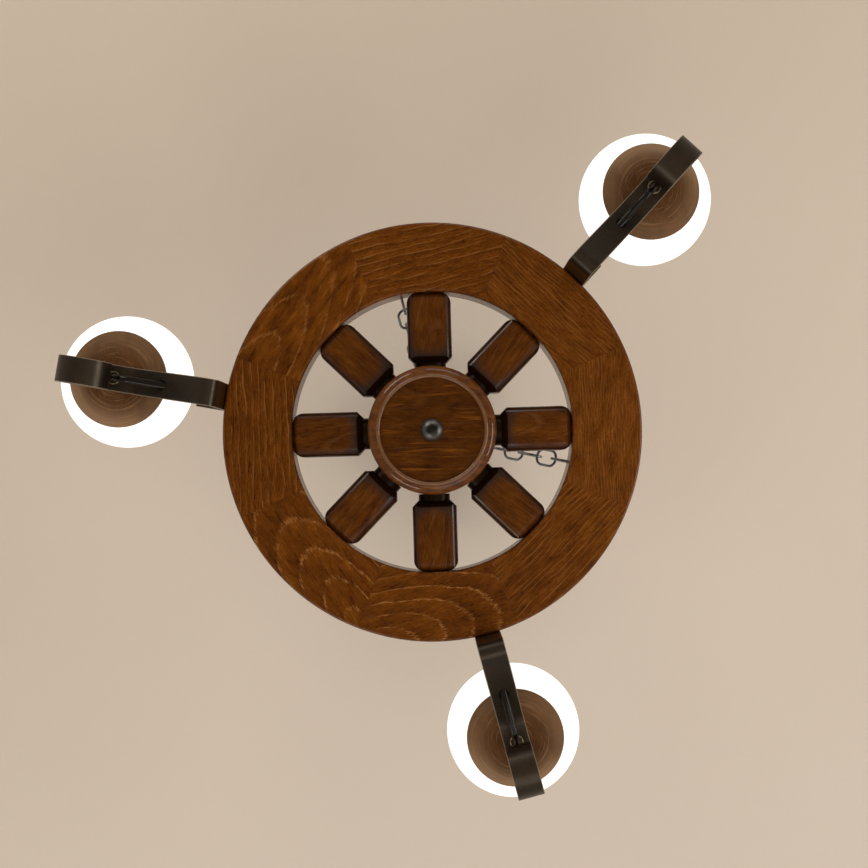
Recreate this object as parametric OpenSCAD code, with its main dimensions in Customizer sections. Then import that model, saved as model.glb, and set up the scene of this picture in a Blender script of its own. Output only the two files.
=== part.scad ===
// Wagon wheel chandelier: an eight-spoked wooden wheel hung level on three
// chains, with three forged arms that each carry a turned wooden cup and an
// opal glass ball.
// Origin: middle of the ceiling face of the ceiling bar. +Z points up, so
// the whole lamp hangs below z = 0. Millimetres.

/* [Wheel] */
// Outside diameter of the wooden rim
rim_od = 400; // [380:1:440]
// Radial width of the rim
rim_w = 66; // [56:1:72]
// Thickness of the rim from its underside to its top
rim_t = 42; // [38:1:50]
// Rounding of the rim's long edges
rim_edge = 3; // [1:0.5:6]
// Turn of the whole wheel about its axis, in degrees
wheel_turn = -1.7; // [-20:0.1:20]
// Thickness of the glue line between two felloes
glue = 0.1; // [0.05:0.05:0.3]
// Diameter of the dowel in each felloe joint
dowel_d = 10; // [6:1:12]
// Length of the dowel in each felloe joint
dowel_l = 40; // [24:1:50]

/* [Spokes] */
// Width of a spoke, across the wheel's face
spoke_w = 42.5; // [34:0.5:46]
// Thickness of a spoke, along the wheel's axis
spoke_t = 37; // [32:0.5:38]
// Rounding of a spoke's long edges
spoke_edge = 9; // [5:0.5:12]
// Rounding of a spoke's corners at the rim
spoke_corner = 11; // [8:0.5:14]
// Chamfer where a spoke steps down to its neck
spoke_chamfer = 6; // [3:0.5:6]
// Diameter of a spoke's round neck
neck_d = 30; // [26:0.5:30]
// Length of the neck that shows between the hub and the spoke
neck_l = 6.5; // [4:0.5:12]
// Diameter of the tenons at a spoke's two ends
tenon_d = 20; // [14:1:22]
// Length of the tenon in the rim
rim_tenon = 24; // [14:1:34]
// Length of the tenon in the hub
hub_tenon = 18; // [10:1:24]

/* [Hub] */
// Diameter of the hub
hub_d = 119; // [112:1:122]
// Depth of the hub's front below the underside of the rim
hub_front = 57; // [45:1:66]
// Height of the hub's back above the top of the rim
hub_back = 5; // [2:1:8]
// Thickness of the hub's turned front disc
face_t = 40; // [28:1:44]
// Rounding between the hub's front and its side
hub_round = 9; // [5:0.5:12]
// Radius of the fine bead round the hub's flat face
bead_r = 49.5; // [44:0.5:50]
// Thickness of that bead
bead_d = 2.4; // [1.6:0.1:3.2]
// Diameter of the bolt that clamps the hub together
hub_bolt_d = 8; // [6:1:10]
// Diameter of the domed nut on the hub's front
dome_d = 21; // [18:0.5:26]
// Height of the domed nut
dome_h = 9; // [7:0.5:10]

/* [Arms] */
// Directions of the three arms round the wheel, in degrees
arm_az = [-47.7, 74.8, 189.5]; // [-60:0.1:200]
// Distance of each lamp from the wheel's axis
lamp_r = [313, 303, 306]; // [300:1:316]
// Width of the arms' flat bar
bar_w = 25; // [22:0.5:30]
// Thickness of the arms' flat bar
bar_t = 4; // [3:0.5:5]
// Depth of an arm's foot below the underside of the rim
arm_foot = 64; // [56:1:72]
// Inside radius of the tight bends in an arm
bend_r = 6; // [5:0.5:8]
// Rise of an arm from its foot to the lamp, in degrees
arm_rise = 39; // [36:0.5:41]
// Inside radius of the gentle bend below the lamp
crest_r = 24; // [16:1:28]
// Height of an arm's top tab above the top of the rim
tab_up = 18; // [16:1:20]
// Reach of the top tab from the rim's outer wall
tab_l = 35; // [28:1:37]
// Outside radius of the scroll at an arm's tip
scroll_r = 25; // [22:0.2:28]
// How far the bar turns round in the scroll, in degrees
scroll_turn = 262; // [220:1:265]
// Distance from a lamp out to the middle of its scroll
scroll_out = 24; // [22:0.5:28]
// Distance from a lamp back to the hole where its flex goes in
flex_hole_in = 52; // [46:1:56]
// Diameter of that hole and of the one in the leg
flex_hole_d = 8.6; // [8:0.1:9.5]
// Diameter of the screws that hold an arm to the rim
arm_screw_d = 4; // [3:0.5:5]
// Length of those screws
arm_screw_l = 34; // [24:1:40]
// Height of the lower screw above the underside of the rim
arm_screw_low = 11; // [8:1:13]
// Height of the upper screw above the underside of the rim
arm_screw_high = 31; // [29:1:34]
// Distance of each screw from the middle of the bar, one to each side
arm_screw_off = 8; // [7.8:0.1:8.4]

/* [Lamps] */
// Outside diameter of a glass ball
globe_d = 130; // [126:1:134]
// Wall of a glass ball
globe_wall = 3; // [2:0.5:4]
// Diameter of the opening in the bottom of a glass ball
globe_mouth = 84; // [78:1:86]
// Outside diameter of a wooden cup at its lip
cup_d = 93; // [92:0.5:96]
// Height of a cup from its foot to its lip
cup_h = 19.7; // [19:0.1:20.5]
// Radius of the curve of a cup's underside
cup_curve = 75; // [70:1:90]
// Rounding where that curve meets the lip
cup_round = 6; // [3:0.5:8]
// Wall of a cup
cup_wall = 6; // [4:0.5:7]
// Diameter of a cup's flat foot
cup_foot = 26; // [20:1:32]
// Height of a glass ball's middle above the cup's foot
globe_up = 67; // [66.5:0.5:68.5]
// Outside diameter of the hollow stem through arm and cup
stem_d = 10; // [10:0.1:10.6]
// Bore of the hollow stem
stem_bore = 8.2; // [8:0.1:8.6]
// Diameter of the stem's collar under the arm
collar_d = 12.7; // [12:0.1:14]
// Thickness of the collar
collar_t = 1.4; // [1:0.1:2]
// Outside diameter of a lampholder
holder_d = 28; // [26:0.5:32]
// Height of a lampholder
holder_h = 44; // [40:1:48]
// Diameter of a bulb's glass
bulb_d = 45; // [40:1:48]
// Diameter of a bulb's screw cap
cap_d = 13.6; // [13:0.1:14]

/* [Flex] */
// Diameter of the flex to each lamp
flex_d = 7; // [6:0.1:7.4]

/* [Chains] */
// Directions of the three chains round the wheel, in degrees
chain_az = [12, 134, -103]; // [-110:1:140]
// Links in each chain
chain_links = 9; // [7:1:13]
// Outside length of a link
link_l = 29; // [26:0.5:32]
// Outside width of a link
link_w = 18; // [16.5:0.5:20]
// Thickness of a link's wire
link_d = 2.6; // [2.2:0.1:2.8]
// Distance of the eye screws from the wheel's axis
eye_at = 139; // [138.5:0.5:146]
// Radius of an eye, to the middle of its wire
eye_r = 5.5; // [5.2:0.1:6.5]
// Thickness of an eye's wire
eye_d = 3; // [2.6:0.1:3.2]
// Length of an eye screw in the wood
eye_shank = 10; // [6:0.5:10]

/* [Ceiling] */
// Radius of the ring that gathers the chains, to the middle of its wire
ring_r = 18; // [17:0.5:22]
// Thickness of the ring's wire
ring_d = 4; // [3.5:0.1:4.5]
// Radius of the ceiling hook, to the middle of its wire
hook_r = 11; // [10:0.5:14]
// Thickness of the ceiling hook's wire
hook_d = 5; // [4.5:0.1:6]
// Diameter of the canopy
canopy_d = 100; // [90:1:110]
// Height of the canopy
canopy_h = 40; // [34:1:50]
// Wall of the canopy
canopy_wall = 1.5; // [1:0.1:2.5]
// Length of the bar that is screwed to the ceiling
ceiling_bar_l = 82; // [80:1:86]
// Distance between the two ceiling screws
ceiling_screws = 64; // [56:1:66]
// Diameter of the holes for the ceiling screws
ceiling_hole_d = 4.5; // [4:0.1:5]

/* [Hidden] */
$fn = 96;
seat = 0.3;              // space left between a piece and its seat
slip = 0.1;              // space round a pin in its hole
spokes = 8;
step = 360 / spokes;
arms = 3;
far = 400;               // longer than anything it cuts

// Rim
rim_r = rim_od / 2;
rim_ri = rim_r - rim_w;
rim_mid = rim_r - rim_w / 2;

// Heights, worked down from the ceiling
bar_plate_t = 3;
bar_plate_w = 22;
nut_h = 8;
nut_d = 16;
nut_flange = 20;
nut_flange_t = 2;
hook_nut_h = 4;
hook_z = -canopy_h - nut_h - 2 * hook_r - 5;
ring_top_z = hook_z + hook_d / 2 + ring_d / 2 + seat;
ring_z = ring_top_z - ring_r;

// Chains: the ring stands square to the first chain, and each chain leaves
// it where the ring's wire lies square to the pull
ring_az = chain_az[0] + 90;
link_in = link_l - 2 * link_d;
chain_full = chain_links * link_in - (chain_links + 1) * seat
    - eye_d / 2 - ring_d / 2;
chain_rise = sqrt(pow(chain_full, 2) - pow(eye_at, 2));
eye_z = ring_z - ring_r - chain_rise;
eye_up = eye_r + eye_d / 2 + seat;
rim_top = eye_z - eye_r - eye_up;
rim_z = rim_top - rim_t;
hub_mid = rim_z + rim_t / 2;

// Hub
hub_r = hub_d / 2;
hub_front_z = rim_z - hub_front;
hub_split_z = hub_front_z + face_t;
hub_back_z = rim_top + hub_back;
washer_t = 1.6;
washer_d = 20;
hub_nut_h = 6.5;

// Spokes
body_in = hub_r + neck_l;
flat_end = spoke_w / 2 - spoke_corner;
body_out = sqrt(pow(rim_ri, 2) - pow(flat_end, 2)) - seat;

// Arms, along the middle of the bar's thickness
leg_r = rim_r + 2 * slip + bar_t / 2;
tight = bend_r + bar_t / 2;
crest = crest_r + bar_t / 2;
curl = scroll_r - bar_t / 2;
tab_z = rim_top + tab_up + bar_t / 2;
foot_z = rim_z - arm_foot + bar_t / 2;
foot_turn = 90 + arm_rise;
// the rising part ends where the crest takes over
foot_out = leg_r + tight * (1 + sin(arm_rise));
foot_up = foot_z + tight * (1 - cos(arm_rise));
crest_in = min(lamp_r) - cup_foot / 2 - crest * sin(arm_rise);
rise_l = (crest_in - foot_out) / cos(arm_rise);
bar_z = foot_up + rise_l * sin(arm_rise) + crest * (1 - cos(arm_rise));
bar_under = bar_z - bar_t / 2;
bar_over = bar_z + bar_t / 2;
// each stretch is [length] or [radius, turn], from the tab to the scroll
arm_start = [rim_r + tab_l, tab_z, 180];
function arm_run(i) = [
    [rim_r + tab_l - leg_r - tight],
    [tight, 90],
    [tab_z - foot_z - 2 * tight],
    [tight, foot_turn],
    [rise_l],
    [crest, -arm_rise],
    [lamp_r[i - 1] + scroll_out - crest_in - crest * sin(arm_rise)],
    [curl, -scroll_turn]
];

// Lamps
foot_of_cup = bar_over + seat;
globe_z = foot_of_cup + globe_up;
globe_r = globe_d / 2;
cup_floor = foot_of_cup + cup_wall - 1;
holder_z = cup_floor + seat;
holder_top = holder_z + holder_h;
cap_l = 22;
bulb_r = bulb_d / 2;
bulb_z = holder_top + 30;
stem_bottom = bar_under - seat - collar_t;
stem_top = holder_z + 10;

// Junction box on the hub's back
box_r = 30;
box_h = 26;
box_wall = 1.5;
box_floor = 2;
box_z = hub_back_z + seat;
box_split = box_z + box_floor + flex_d + 3;
box_top = box_z + box_h;
flex_z = hub_back_z + flex_d / 2 + 2 * seat + box_floor;
nut_z = box_z + box_floor + seat;
bolt_top = nut_z + washer_t + hub_nut_h + 3;
gland_d = 10;
gland_bore = 7;

// Middle of the bar's thickness along the rising part, and where the flex
// goes through it
function rising(r) = foot_up + (r - foot_out) * tan(arm_rise);
function flex_hole(i) = lamp_r[i - 1] - flex_hole_in;

// Turn from an arm to the nearest spoke
function near(i) = let (d = arm_az[i - 1] - wheel_turn) wheel_turn + step * round(d / step)
    - arm_az[i - 1];

// Route of a flex as [radius, share of the turn to the spoke, height]: down
// out of the stem, in through the arm, up its leg, out and over through the
// leg's hole, across the rim, along the spoke and into the junction box. The
// distances are set off from the lamp, the arm's hole, the leg and the rim.
flex_r = flex_d / 2;
on_rim = rim_top + flex_r + seat;
on_spoke = hub_mid + spoke_t / 2 + flex_r + seat;
leg_out = leg_r + bar_t / 2 + flex_r + seat;
function flex_route(i) = let (
        lamp = lamp_r[i - 1], low = stem_bottom, hole = flex_hole(i), hz = rising(hole)
    ) [
    [lamp, 0, stem_top + 2], [lamp, 0, bar_z], [lamp, 0, low], [lamp - 2.5, 0, low - 9.5],
    [lamp - 8.5, 0, low - 15.5], [lamp - 17.5, 0, low - 18], [hole + 14, 0, hz],
    [hole, 0, hz], [hole - 14, 0, hz - 0.5], [leg_out + 20, 0, hz - 1],
    [leg_out + 10, 0, hz + 1.5], [leg_out + 3, 0, hz + 9], [leg_out, 0, hz + 19],
    [leg_out, 0, on_rim - 36], [leg_out + 1.5, 0, on_rim - 30], [leg_out + 5, 0, on_rim - 25],
    [leg_out + 9, 0, on_rim - 20], [leg_out + 10, 0, on_rim - 14], [leg_out + 9, 0, on_rim - 8],
    [leg_out + 5, 0, on_rim - 3], [leg_out - 4, 0, on_rim], [leg_r - 8, 0, on_rim],
    [180, 0, on_rim], [173, 0.04, on_rim], [165, 0.18, on_rim], [156, 0.42, on_rim],
    [147, 0.66, on_rim], [138, 0.87, on_rim], [130, 0.98, on_rim], [120, 1, on_rim - 1],
    [108, 1, on_spoke], [92, 1, on_spoke], [84, 1, on_spoke + 1], [76, 1, flex_z - 5],
    [68, 1, flex_z - 1], [60, 1, flex_z], [box_r + 6, 1, flex_z], [box_r - 8, 1, flex_z]
];

WALNUT = [0.36, 0.19, 0.07];
DARK_WALNUT = [0.28, 0.14, 0.05];
CUP_WOOD = [0.42, 0.29, 0.19];
BLACK = [0.12, 0.10, 0.09];
STEEL = [0.42, 0.42, 0.43];
BRASS = [0.72, 0.62, 0.42];
OPAL = [0.97, 0.97, 0.94];
PORCELAIN = [0.90, 0.88, 0.84];

// ---------- rim ----------

// Direction of a spoke, and of the middle of its felloe
function spoke_az(i) = wheel_turn + step * (i - 1);

module rim_section() {
    translate([rim_ri + rim_edge, rim_z])
        square([rim_w - 2 * rim_edge, rim_t]);
    translate([rim_ri, rim_z + rim_edge])
        square([rim_w, rim_t - 2 * rim_edge]);
    for (r = [rim_ri + rim_edge, rim_r - rim_edge], z = [rim_z + rim_edge, rim_top - rim_edge])
        translate([r, z])
            circle(rim_edge);
}

module felloe(i) {
    half = step / 2 - asin(glue / 2 / rim_mid);
    color(WALNUT) difference() {
        rotate([0, 0, spoke_az(i) - half])
            rotate_extrude(angle = 2 * half)
                rim_section();
        // mortise for the spoke
        rotate([0, 0, spoke_az(i)])
            translate([rim_ri - 20, 0, hub_mid])
                rotate([0, 90, 0])
                    cylinder(d = tenon_d + 2 * slip, h = rim_tenon + 21);
        for (s = [-1, 1])
            rotate([0, 0, spoke_az(i) + s * step / 2])
                translate([rim_mid, 0, hub_mid])
                    rotate([90, 0, 0])
                        cylinder(d = dowel_d + 2 * slip, h = dowel_l + 2, center = true);
        arm_screw_holes();
        eye_screw_holes();
    }
}

module felloe_dowels() {
    color(WALNUT)
        for (i = [1 : spokes])
            rotate([0, 0, spoke_az(i) + step / 2])
                translate([rim_mid, 0, hub_mid])
                    rotate([90, 0, 0])
                        cylinder(d = dowel_d, h = dowel_l, center = true);
}

// ---------- spokes ----------

module spoke_plan() {
    c = spoke_corner;
    k = spoke_chamfer;
    half = spoke_w / 2;
    polygon([
        [body_in, -half + k], [body_in + k, -half], [body_out - c, -half], [body_out - c, half],
        [body_in + k, half], [body_in, half - k]
    ]);
    translate([body_out - c - 1, -half + c])
        square([c + 1, 2 * (half - c)]);
    for (s = [-1, 1])
        translate([body_out - c, s * (half - c)])
            circle(c);
}

module spoke_side() {
    e = spoke_edge;
    k = spoke_chamfer;
    half = spoke_t / 2;
    polygon([
        [body_in, -half + k], [body_in + k, -half], [body_out - e, -half], [body_out - e, half],
        [body_in + k, half], [body_in, half - k]
    ]);
    translate([body_out - e - 1, -half + e])
        square([e + 1, 2 * (half - e)]);
    for (s = [-1, 1])
        translate([body_out - e, s * (half - e)])
            circle(e);
}

module spoke_end() {
    e = spoke_edge;
    square([spoke_w - 2 * e, spoke_t], center = true);
    square([spoke_w, spoke_t - 2 * e], center = true);
    for (y = [-1, 1], z = [-1, 1])
        translate([y * (spoke_w / 2 - e), z * (spoke_t / 2 - e)])
            circle(e);
}

module spoke(i) {
    color(DARK_WALNUT)
        rotate([0, 0, spoke_az(i)])
            translate([0, 0, hub_mid]) {
                intersection() {
                    linear_extrude(spoke_t + 2, center = true)
                        spoke_plan();
                    rotate([90, 0, 0])
                        linear_extrude(spoke_w + 2, center = true)
                            spoke_side();
                    rotate([90, 0, 90])
                        linear_extrude(rim_r)
                            spoke_end();
                }
                // neck, then the tenons in hub and rim
                translate([hub_r + seat, 0, 0])
                    rotate([0, 90, 0])
                        cylinder(d = neck_d, h = body_in - hub_r);
                translate([hub_r - hub_tenon, 0, 0])
                    rotate([0, 90, 0])
                        cylinder(d = tenon_d, h = rim_ri + rim_tenon - hub_r + hub_tenon);
            }
}

// ---------- hub ----------

module hub_core() {
    color(DARK_WALNUT) difference() {
        translate([0, 0, hub_split_z + seat])
            cylinder(r = hub_r, h = hub_back_z - hub_split_z - seat);
        translate([0, 0, rim_z - far / 2])
            cylinder(d = hub_bolt_d + 4 * slip, h = far);
        for (i = [1 : spokes])
            rotate([0, 0, spoke_az(i)])
                translate([hub_r - hub_tenon - 1, 0, hub_mid])
                    rotate([0, 90, 0])
                        cylinder(d = tenon_d + 2 * slip, h = hub_tenon + 10);
    }
}

// Turned front disc: flat face, fine bead, then a quarter round to the side
module hub_face() {
    color(DARK_WALNUT) rotate_extrude() difference() {
        union() {
            translate([0, hub_front_z + bead_d / 2])
                square([bead_r, face_t - bead_d / 2]);
            translate([0, hub_front_z])
                square([hub_r - hub_round, face_t]);
            translate([0, hub_front_z + hub_round])
                square([hub_r, face_t - hub_round]);
            translate([hub_r - hub_round, hub_front_z + hub_round])
                circle(hub_round);
        }
        // the flat lies a little below the bead
        translate([-1, hub_front_z - 1])
            square([bead_r - bead_d / 2 + 1, 1 + bead_d / 2]);
        translate([-1, hub_front_z - 1])
            square([1 + hub_bolt_d / 2 + 2 * slip, face_t + 2]);
    }
}

module hub_bolt() {
    color(STEEL)
        translate([0, 0, hub_front_z - dome_h / 2])
            cylinder(d = hub_bolt_d, h = bolt_top - hub_front_z + dome_h / 2);
}

module hub_dome_nut() {
    ball = (pow(dome_d / 2, 2) + pow(dome_h, 2)) / (2 * dome_h);
    color(BLACK)
        translate([0, 0, hub_front_z + bead_d / 2 - seat])
            difference() {
                intersection() {
                    translate([0, 0, -dome_h + ball])
                        sphere(ball);
                    translate([0, 0, -dome_h])
                        cylinder(d = dome_d, h = dome_h);
                }
                translate([0, 0, -dome_h / 2 - bead_d / 2])
                    cylinder(d = hub_bolt_d + 2 * slip, h = dome_h);
            }
}

module hex_nut(across, h, bore) {
    difference() {
        cylinder(d = across / cos(30), h = h, $fn = 6);
        translate([0, 0, -1])
            cylinder(d = bore, h = h + 2);
    }
}

module hub_back_nut() {
    color(STEEL)
        translate([0, 0, nut_z]) {
            difference() {
                cylinder(d = washer_d, h = washer_t);
                translate([0, 0, -1])
                    cylinder(d = hub_bolt_d + 2 * slip, h = washer_t + 2);
            }
            translate([0, 0, washer_t])
                hex_nut(hub_bolt_d + 5, hub_nut_h, hub_bolt_d + 2 * slip);
        }
}

// ---------- arms ----------

// Where each stretch of the bent bar begins: [out, up, heading]
function next_pose(p, s) = len(s) == 1
    ? [p[0] + s[0] * cos(p[2]), p[1] + s[0] * sin(p[2]), p[2]]
    : let (side = sign(s[1]), a = p[2] + s[1])
        [p[0] + side * s[0] * (sin(a) - sin(p[2])), p[1] + side * s[0] * (cos(p[2]) - cos(a)), a];
function pose_at(run, n) = n == 0 ? arm_start : next_pose(pose_at(run, n - 1), run[n - 1]);

// One straight or one bend of the bar, drawn at its start pose; a straight
// runs a little way into the bend at each end
module stretch(p, s) {
    into = min(0.3, s[0] / 4);
    translate([p[0], p[1]])
        rotate(p[2])
            if (len(s) == 1)
                translate([-into, -bar_t / 2])
                    square([s[0] + 2 * into, bar_t]);
            else
                translate([0, sign(s[1]) * s[0]])
                    rotate(s[1] > 0 ? -90 : 90 + s[1])
                        sector(s[0] - bar_t / 2, s[0] + bar_t / 2, abs(s[1]));
}

// Flat ring sector from the +X direction anticlockwise through the angle
module sector(r_in, r_out, angle) {
    reach = 2 * r_out;
    difference() {
        circle(r_out);
        circle(r_in);
        if (angle <= 180)
            rotate(angle)
                translate([-reach, 0])
                    square([2 * reach, reach]);
        if (angle <= 180)
            translate([-reach, -reach])
                square([2 * reach, reach]);
        if (angle > 180)
            intersection() {
                rotate(angle)
                    square([reach, 2 * reach]);
                translate([0, -2 * reach])
                    square([reach, 2 * reach]);
            }
    }
}

// Calls its children at each arm screw, with +Z out of the rim
module at_arm_screws() {
    spots = [[arm_screw_off, arm_screw_low], [-arm_screw_off, arm_screw_high]];
    for (i = [1 : arms], p = spots)
        rotate([0, 0, arm_az[i - 1]])
            translate([leg_r + bar_t / 2 + seat, p[0], rim_z + p[1]])
                rotate([0, 90, 0])
                    children();
}

module arm_screw_holes() {
    at_arm_screws()
        translate([0, 0, -arm_screw_l - 1])
            cylinder(d = arm_screw_d + 2 * slip, h = arm_screw_l + 5);
}

module arm_strap(i) {
    run = arm_run(i);
    hole = flex_hole(i);
    color(BLACK) difference() {
        rotate([0, 0, arm_az[i - 1]])
            difference() {
                rotate([90, 0, 0])
                    linear_extrude(bar_w, center = true)
                        for (n = [0 : len(run) - 1])
                            stretch(pose_at(run, n), run[n]);
                translate([lamp_r[i - 1], 0, bar_under - 3])
                    cylinder(d = stem_d + 2 * slip, h = bar_t + 6);
                translate([hole - 3 * bar_t, 0, rising(hole)])
                    rotate([0, 90, 0])
                        cylinder(d = flex_hole_d, h = 6 * bar_t);
                translate([leg_r - bar_t, 0, on_rim])
                    rotate([0, 90, 0])
                        cylinder(d = flex_hole_d, h = 2 * bar_t);
            }
        arm_screw_holes();
    }
}

module arm_screws() {
    head_r = arm_screw_d;
    color(BLACK)
        at_arm_screws() {
            translate([0, 0, -arm_screw_l])
                cylinder(d = arm_screw_d, h = arm_screw_l + 1);
            intersection() {
                translate([0, 0, -head_r * 0.6])
                    sphere(head_r * 1.3);
                cylinder(r = head_r, h = head_r);
            }
        }
}

// ---------- lamps ----------

module at_lamp(i) {
    rotate([0, 0, arm_az[i - 1]])
        translate([lamp_r[i - 1], 0, 0])
            children();
}

// Section of a cup's outside, with the foot at height 0
module cup_outline() {
    r = cup_d / 2;
    e = cup_round;
    rise = cup_curve - sqrt(pow(cup_curve, 2) - pow(cup_foot / 2, 2));
    // middle of the rounding: inside both the lip's wall and the big curve
    out = r - e;
    up = cup_curve - rise - sqrt(pow(cup_curve - e, 2) - pow(out, 2));
    difference() {
        intersection() {
            translate([0, cup_curve - rise])
                circle(cup_curve);
            square([r, cup_h]);
        }
        // corner outside the rounding
        difference() {
            translate([out, up - e])
                square([e + 1, e]);
            translate([out, up])
                circle(e);
            polygon([[0, 2 * up], [out, up], [out * 2, up - (cup_curve - rise - up)]]);
        }
    }
}

// Turned bowl: a dish, a pocket for the lampholder and, inside the lip, a
// rebate that follows the glass ball resting in it
module cup(i) {
    rise = cup_curve - sqrt(pow(cup_curve, 2) - pow(cup_foot / 2, 2));
    color(CUP_WOOD)
        at_lamp(i)
            difference() {
                translate([0, 0, foot_of_cup])
                    rotate_extrude()
                        cup_outline();
                translate([0, 0, foot_of_cup + cup_curve - rise])
                    sphere(cup_curve - cup_wall);
                difference() {
                    translate([0, 0, globe_z])
                        sphere(globe_r + seat);
                    cylinder(r = globe_mouth / 2 - globe_wall - seat, h = far, center = true);
                }
                translate([0, 0, cup_floor])
                    cylinder(d = holder_d + 4, h = cup_h);
                translate([0, 0, foot_of_cup - 1])
                    cylinder(d = stem_d + 4 * slip, h = cup_h);
            }
}

module stem(i) {
    color(BRASS)
        at_lamp(i)
            difference() {
                union() {
                    translate([0, 0, stem_bottom])
                        cylinder(d = collar_d, h = collar_t);
                    translate([0, 0, stem_bottom])
                        cylinder(d = stem_d, h = stem_top - stem_bottom);
                }
                translate([0, 0, stem_bottom - 1])
                    cylinder(d = stem_bore, h = stem_top - stem_bottom + 2);
            }
}

module lampholder(i) {
    color(PORCELAIN)
        at_lamp(i)
            difference() {
                union() {
                    translate([0, 0, holder_z])
                        cylinder(d = holder_d - 6, h = 8);
                    translate([0, 0, holder_z + 8])
                        cylinder(d = holder_d, h = holder_h - 8);
                }
                translate([0, 0, holder_z - 1])
                    cylinder(d = stem_d + 2 * slip, h = 15);
                translate([0, 0, holder_top - cap_l - 2])
                    cylinder(d = cap_d + 2 * slip, h = cap_l + 3);
            }
}

module globe(i) {
    color(OPAL)
        at_lamp(i)
            difference() {
                translate([0, 0, globe_z])
                    sphere(globe_r);
                translate([0, 0, globe_z])
                    sphere(globe_r - globe_wall);
                translate([0, 0, globe_z - globe_r - 1])
                    cylinder(d = globe_mouth - 2 * globe_wall, h = globe_r);
            }
}

module bulb(i) {
    neck = cap_d / 2 + 3;
    color(OPAL)
        at_lamp(i) {
            translate([0, 0, bulb_z])
                sphere(bulb_r);
            translate([0, 0, holder_top + seat])
                cylinder(r = neck, h = bulb_z - holder_top - seat);
            translate([0, 0, holder_top - cap_l])
                cylinder(d = cap_d, h = cap_l + 1);
        }
}

// ---------- flex ----------

function place(i, p) = let (az = arm_az[i - 1] + p[1] * near(i))
    [p[0] * cos(az), p[0] * sin(az), p[2]];
function unit(v) = v / norm(v);

// Round tube swept along a flex's points; the cross-section is squared to
// the route at each point, with the first side level across the arm
module flex(i) {
    sides = 8;
    route = [for (p = flex_route(i)) place(i, p)];
    last = len(route) - 1;
    level = [-sin(arm_az[i - 1]), cos(arm_az[i - 1]), 0];
    rings = [
        for (n = [0 : last])
            let (
                along = unit(route[min(n + 1, last)] - route[max(n - 1, 0)]),
                a = unit(level - (level * along) * along),
                b = cross(along, a)
            )
            for (k = [0 : sides - 1])
                route[n] + flex_r * (cos(k * 360 / sides) * a + sin(k * 360 / sides) * b)
    ];
    walls = [
        for (n = [0 : last - 1], k = [0 : sides - 1])
            let (m = (k + 1) % sides)
            [(n + 1) * sides + k, (n + 1) * sides + m, n * sides + m, n * sides + k]
    ];
    ends = [
        [for (k = [0 : sides - 1]) k],
        [for (k = [sides - 1 : -1 : 0]) last * sides + k]
    ];
    color(BLACK)
        polyhedron(rings, concat(walls, ends));
}

// ---------- chains ----------

// One welded link, long way along X, flat in the XY plane
module link() {
    r = (link_w - link_d) / 2;
    half = link_l / 2 - link_d / 2 - r;
    for (s = [0, 180])
        rotate([0, 0, s]) {
            translate([half, 0, 0])
                rotate([0, 0, -90])
                    rotate_extrude(angle = 180)
                        translate([r, 0])
                            circle(d = link_d, $fn = 32);
            translate([-half, r, 0])
                rotate([0, 90, 0])
                    cylinder(d = link_d, h = 2 * half, $fn = 32);
        }
}

// Where a chain leaves the ring, measured round the ring from its lowest
// point, and the two ends of the chain
function ring_turn(i) = let (
        across = eye_at * cos(chain_az[i - 1] - ring_az),
        down = chain_rise
    ) atan2(across, down);
function on_ring(i) = [
    ring_r * sin(ring_turn(i)) * cos(ring_az), ring_r * sin(ring_turn(i)) * sin(ring_az),
    ring_z - ring_r * cos(ring_turn(i))
];
function on_eye(i) = [eye_at * cos(chain_az[i - 1]), eye_at * sin(chain_az[i - 1]), eye_z];

module chain(i) {
    a = on_eye(i);
    b = on_ring(i);
    pull = b - a;
    reach = norm(pull);
    slack = (chain_links * link_in - eye_d / 2 - ring_d / 2 - reach) / (chain_links + 1);
    pitch = link_in - slack;
    az = atan2(pull[1], pull[0]);
    el = asin(pull[2] / reach);
    // the last link lies square to the ring's wire, so the chain is twisted
    // a little from link to link
    wire = [-cos(ring_turn(i)) * cos(ring_az), -cos(ring_turn(i)) * sin(ring_az), -sin(ring_turn(i))];
    side = [-sin(az), cos(az), 0];
    up = cross(pull / reach, side);
    want = atan2(wire * up, wire * side);
    from_eye = 90 * (chain_links - 1);
    extra = (want - from_eye) - 180 * round((want - from_eye) / 180);
    twist = 90 + extra / (chain_links - 1);
    color(STEEL)
        for (k = [0 : chain_links - 1])
            translate(a)
                rotate([0, -el, az])
                    translate([link_in / 2 - eye_d / 2 - slack + k * pitch, 0, 0])
                        rotate([90 + k * twist, 0, 0])
                            link();
}

module eye_screw_holes() {
    for (az = chain_az)
        rotate([0, 0, az])
            translate([eye_at, 0, rim_top - eye_shank - 1])
                cylinder(d = eye_d + 2 * slip, h = eye_shank + 10);
}

module eye_screws() {
    color(STEEL)
        for (az = chain_az)
            rotate([0, 0, az])
                translate([eye_at, 0, 0]) {
                    translate([0, 0, eye_z - eye_r])
                        rotate([0, 90, 0])
                            torus(eye_r, eye_d / 2);
                    translate([0, 0, rim_top - eye_shank])
                        cylinder(d = eye_d, h = eye_shank + seat + eye_d / 2);
                }
}

module torus(r, wire) {
    rotate_extrude()
        translate([r, 0])
            circle(wire, $fn = 48);
}

// ---------- ceiling end ----------

module top_ring() {
    color(STEEL)
        translate([0, 0, ring_z])
            rotate([90, 0, ring_az])
                torus(ring_r, ring_d / 2);
}

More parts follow.
